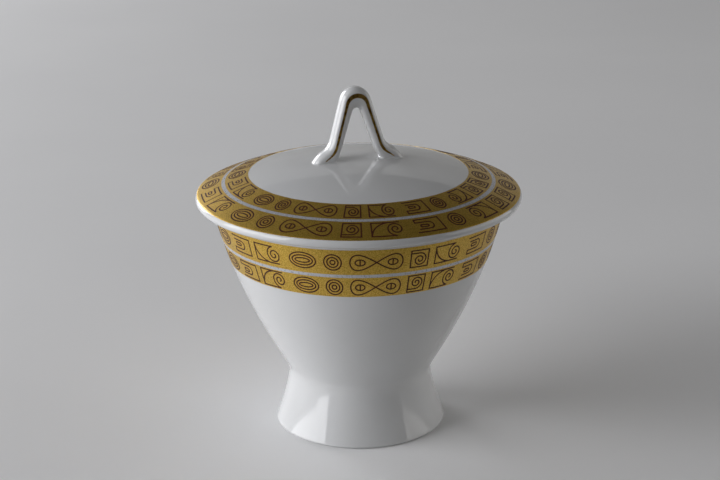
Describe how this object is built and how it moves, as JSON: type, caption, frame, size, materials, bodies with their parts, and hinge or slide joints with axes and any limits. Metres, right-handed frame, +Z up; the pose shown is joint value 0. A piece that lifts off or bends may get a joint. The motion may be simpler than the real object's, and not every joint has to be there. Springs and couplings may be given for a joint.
{
  "type": "sugar bowl",
  "caption": "Covered porcelain sugar bowl: tapered bowl on a flared foot, with a lift-off domed lid that carries a looped handle and patterned gilt rings.",
  "frame": {"origin": "middle of the face that the foot stands on, on the axis of the bowl", "axes": "+Z up along the axis of bowl and lid, +X along the loop of the handle from foot to foot"},
  "size_m": [0.104, 0.104, 0.1119],
  "materials": {
    "bowl_glaze": "gloss",
    "foot_glaze": "gloss",
    "lid_glaze": "gloss",
    "handle_glaze": "gloss",
    "bare_foot_ring": "matte",
    "gold_print": "satin",
    "silver_line": "satin",
    "brown_print": "gloss"
  },
  "bodies": {
    "base": {"bowl": "bowl_glaze", "foot": "foot_glaze"},
    "cover": {"lid": "lid_glaze", "handle": "handle_glaze"}
  },
  "joints": [
    {"name": "lid_lift", "type": "slide", "parent": "base", "child": "cover", "axis": [0, 0, 1], "range_m": [0, 0.06]}
  ]
}
